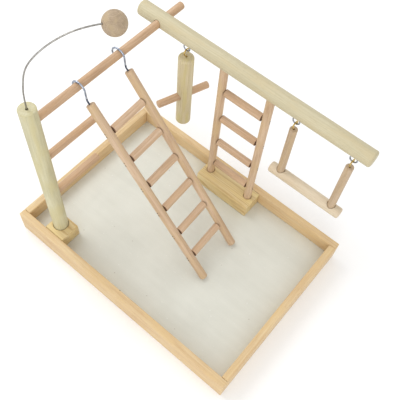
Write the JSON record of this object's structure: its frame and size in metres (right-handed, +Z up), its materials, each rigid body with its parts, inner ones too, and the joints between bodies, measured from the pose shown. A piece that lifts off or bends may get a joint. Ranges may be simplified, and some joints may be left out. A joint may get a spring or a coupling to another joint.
{
  "type": "parrot play stand",
  "caption": "Wooden table-top play stand for a pet bird: shallow tray, post and high perch, fixed and hook-on ladders, swing, hanging toy and a ball on a springy wire.",
  "frame": {"origin": "on the table, under the middle of the stand's bounding box", "axes": "+X along the tray from the post's side to the swing's side, +Y from the front rail to the back rail under the main perch, +Z up"},
  "size_m": [0.4, 0.299, 0.4266],
  "materials": {
    "tray_pine": "satin, sanded pine with fine grain",
    "floor_board": "smooth pale fibre board",
    "block_pine": "sanded pine with plain growth rings",
    "post_wood": "sanded pale hardwood",
    "perch_wood": "sanded pale hardwood",
    "dowel_wood": "sanded tan hardwood",
    "ladder_rail_wood": "sanded tan hardwood",
    "rung_wood": "sanded pinkish hardwood",
    "swing_arm_wood": "sanded tan hardwood",
    "swing_bar_wood": "sanded pale hardwood",
    "toy_wood": "sanded pale hardwood",
    "ball_wood": "turned grey-brown hardwood with growth rings",
    "hook_steel": "bright zinc plated steel",
    "spring_steel": "drawn spring steel wire",
    "eye_brass": "brass plated",
    "screw_steel": "zinc plated"
  },
  "bodies": {
    "stand": {"tray_floor": "floor_board", "tray_rail_front": "tray_pine", "tray_rail_back": "tray_pine", "tray_rail_left": "tray_pine", "tray_rail_right": "tray_pine", "post_screw": "screw_steel", "post_block_screw": "screw_steel", "ladder_block_screw_left": "screw_steel", "ladder_block_screw_right": "screw_steel", "post_base_block": "block_pine", "ladder_base_block": "block_pine", "post": "post_wood", "top_perch_dowel": "dowel_wood", "middle_perch_dowel": "dowel_wood", "lower_perch_dowel": "dowel_wood", "main_perch": "perch_wood", "toy_perch_eye": "hook_steel", "swing_perch_eye_left": "hook_steel", "swing_perch_eye_right": "hook_steel", "standing_ladder_rail_left": "ladder_rail_wood", "standing_ladder_rail_right": "ladder_rail_wood", "standing_ladder_rung_1": "rung_wood", "standing_ladder_rung_2": "rung_wood", "standing_ladder_rung_3": "rung_wood", "standing_ladder_rung_4": "rung_wood"},
    "leaning_ladder": {"leaning_ladder_rail_left": "ladder_rail_wood", "leaning_ladder_rail_right": "ladder_rail_wood", "leaning_ladder_rung_1": "rung_wood", "leaning_ladder_rung_2": "rung_wood", "leaning_ladder_rung_3": "rung_wood", "leaning_ladder_rung_4": "rung_wood", "leaning_ladder_rung_5": "rung_wood", "leaning_ladder_rung_6": "rung_wood", "leaning_ladder_hook_left": "hook_steel", "leaning_ladder_hook_right": "hook_steel"},
    "swing": {"swing_arm_left": "swing_arm_wood", "swing_arm_right": "swing_arm_wood", "swing_arm_eye_left": "eye_brass", "swing_arm_eye_right": "eye_brass", "swing_bar": "swing_bar_wood"},
    "toy": {"toy_body": "toy_wood", "toy_body_eye": "eye_brass", "toy_cross_dowel": "dowel_wood"},
    "spring_ball": {"spring_wire": "spring_steel", "wooden_ball": "ball_wood"}
  },
  "joints": [
    {"name": "ladder_lift", "type": "hinge", "parent": "stand", "child": "leaning_ladder", "pos_m": [-0.1415, -0.0078, 0.292], "axis": [0, -1, 0], "range_deg": [0, 60]},
    {"name": "swing_hang", "type": "hinge", "parent": "stand", "child": "swing", "pos_m": [0.1241, 0.1102, 0.2667], "axis": [1, 0, 0], "range_deg": [-75, 75]},
    {"name": "toy_hang", "type": "hinge", "parent": "stand", "child": "toy", "pos_m": [-0.098, 0.1102, 0.2667], "axis": [1, 0, 0], "range_deg": [-40, 60]},
    {"name": "ball_sway", "type": "hinge", "parent": "stand", "child": "spring_ball", "pos_m": [-0.1415, -0.119, 0.3144], "axis": [0.8829, -0.4695, 0], "range_deg": [-12, 12], "stiffness_Nm_per_rad": 3, "springref_deg": 0.17}
  ]
}
